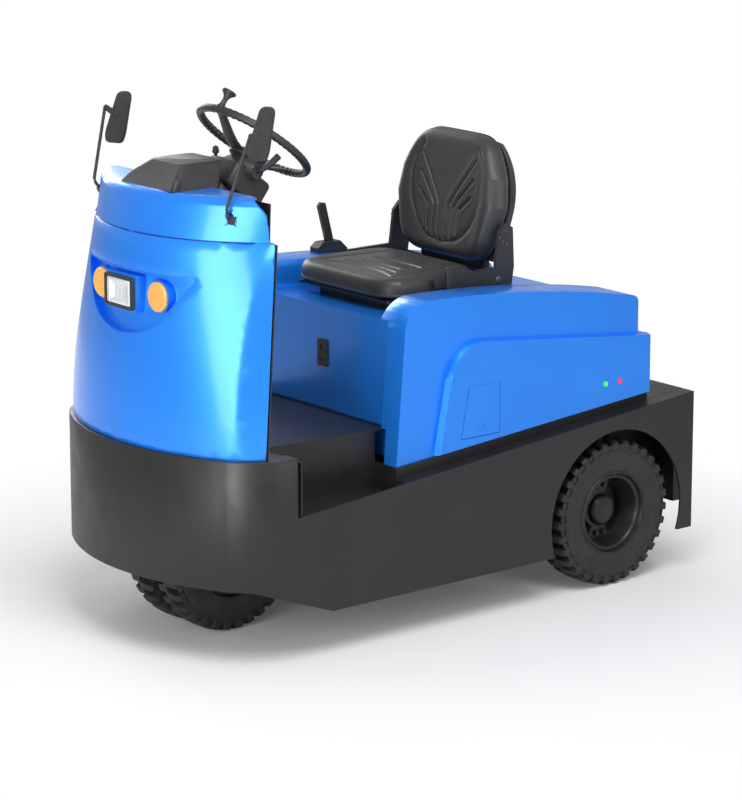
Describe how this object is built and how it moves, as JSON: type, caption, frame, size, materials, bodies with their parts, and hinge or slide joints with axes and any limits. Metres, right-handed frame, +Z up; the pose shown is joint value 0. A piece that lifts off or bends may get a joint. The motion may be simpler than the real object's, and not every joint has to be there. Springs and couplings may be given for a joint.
{
  "type": "tow tractor",
  "caption": "Sit-on electric baggage tug with wrap-round bumper, rounded front cowl, side steps, tilting battery hood with seat, twin steered front wheels and rear coupling.",
  "frame": {"origin": "on the floor under the middle of the overall box", "axes": "+X forward, +Y to the driver's left, +Z up"},
  "size_m": [1.9389, 0.98, 1.605],
  "materials": {
    "body_blue": "glossy blue paint",
    "chassis_black": "satin black paint",
    "battery_grey": "matt grey paint",
    "pin_steel": "plain turned steel",
    "axle_iron": "painted casting",
    "tyre_rubber": "solid black rubber",
    "rim_black": "satin black paint",
    "trim_plastic": "grained dark grey plastic",
    "lamp_glass": "clear lamp glass",
    "amber_plastic": "ribbed amber lens",
    "green_plastic": "lit green lens",
    "red_plastic": "lit red lens",
    "seat_vinyl": "dark grey vinyl with fine grain"
  },
  "bodies": {
    "chassis": {"front_bumper": "chassis_black", "skirt_left": "chassis_black", "skirt_right": "chassis_black", "floor_plate": "chassis_black", "nose_floor": "chassis_black", "steps": "chassis_black", "main_frame": "chassis_black", "sill_frame": "chassis_black", "battery_pack": "battery_grey", "rear_plate": "chassis_black", "tow_coupling": "chassis_black", "tow_pin": "pin_steel", "rear_axle": "axle_iron", "steer_head": "chassis_black", "front_cowl": "body_blue", "lamp_panel": "body_blue", "headlamp": "trim_plastic", "headlamp_lens": "lamp_glass", "turn_lamps": "amber_plastic", "cowl_cap": "body_blue", "leg_shield": "trim_plastic", "dash_console": "trim_plastic", "column_shroud": "trim_plastic", "shift_lever": "trim_plastic", "pedals": "chassis_black", "mirror_left": "trim_plastic", "mirror_right": "trim_plastic"},
    "hood": {"hood_shell": "body_blue", "side_panel_left": "body_blue", "side_panel_right": "body_blue", "charge_socket": "trim_plastic", "status_lamp_green": "green_plastic", "status_lamp_red": "red_plastic", "hood_latch": "trim_plastic", "seat_slides": "chassis_black", "seat_cushion": "seat_vinyl", "seat_backrest": "seat_vinyl", "seat_shell": "trim_plastic", "seat_brackets": "trim_plastic", "brake_lever": "trim_plastic"},
    "hatch": {"charge_hatch": "body_blue"},
    "steer_unit": {"steer_leg": "axle_iron"},
    "front_wheels": {"front_tyres": "tyre_rubber", "front_rims": "rim_black"},
    "rear_wheel_left": {"rear_tyre_left": "tyre_rubber", "rear_rim_left": "rim_black"},
    "rear_wheel_right": {"rear_tyre_right": "tyre_rubber", "rear_rim_right": "rim_black"},
    "steering": {"steering_wheel": "trim_plastic"}
  },
  "joints": [
    {"name": "rear_left_spin", "type": "hinge", "parent": "chassis", "child": "rear_wheel_left", "pos_m": [-0.5595, 0.41, 0.23], "axis": [0, 1, 0], "continuous": true},
    {"name": "rear_right_spin", "type": "hinge", "parent": "chassis", "child": "rear_wheel_right", "pos_m": [-0.5595, -0.41, 0.23], "axis": [0, 1, 0], "continuous": true},
    {"name": "steer_turn", "type": "hinge", "parent": "chassis", "child": "steer_unit", "pos_m": [0.6295, 0, 0.5], "axis": [0, 0, 1], "range_deg": [-80, 80]},
    {"name": "front_spin", "type": "hinge", "parent": "steer_unit", "child": "front_wheels", "pos_m": [0.6295, 0, 0.23], "axis": [0, 1, 0], "continuous": true},
    {"name": "steering_wheel_turn", "type": "hinge", "parent": "chassis", "child": "steering", "pos_m": [0.4605, 0, 1.434], "axis": [-0.6157, 0, 0.788], "range_deg": [-540, 540]},
    {"name": "hood_tilt", "type": "hinge", "parent": "chassis", "child": "hood", "pos_m": [-0.7315, 0, 0.592], "axis": [0, -1, 0], "range_deg": [0, 65]},
    {"name": "hatch_lift", "type": "hinge", "parent": "hood", "child": "hatch", "pos_m": [-0.0395, 0.453, 0.71], "axis": [1, 0, 0], "range_deg": [0, 100]}
  ],
  "couplings": [
    {"joint": "steering_wheel_turn", "follows": "steer_turn", "ratio": 6.75}
  ]
}
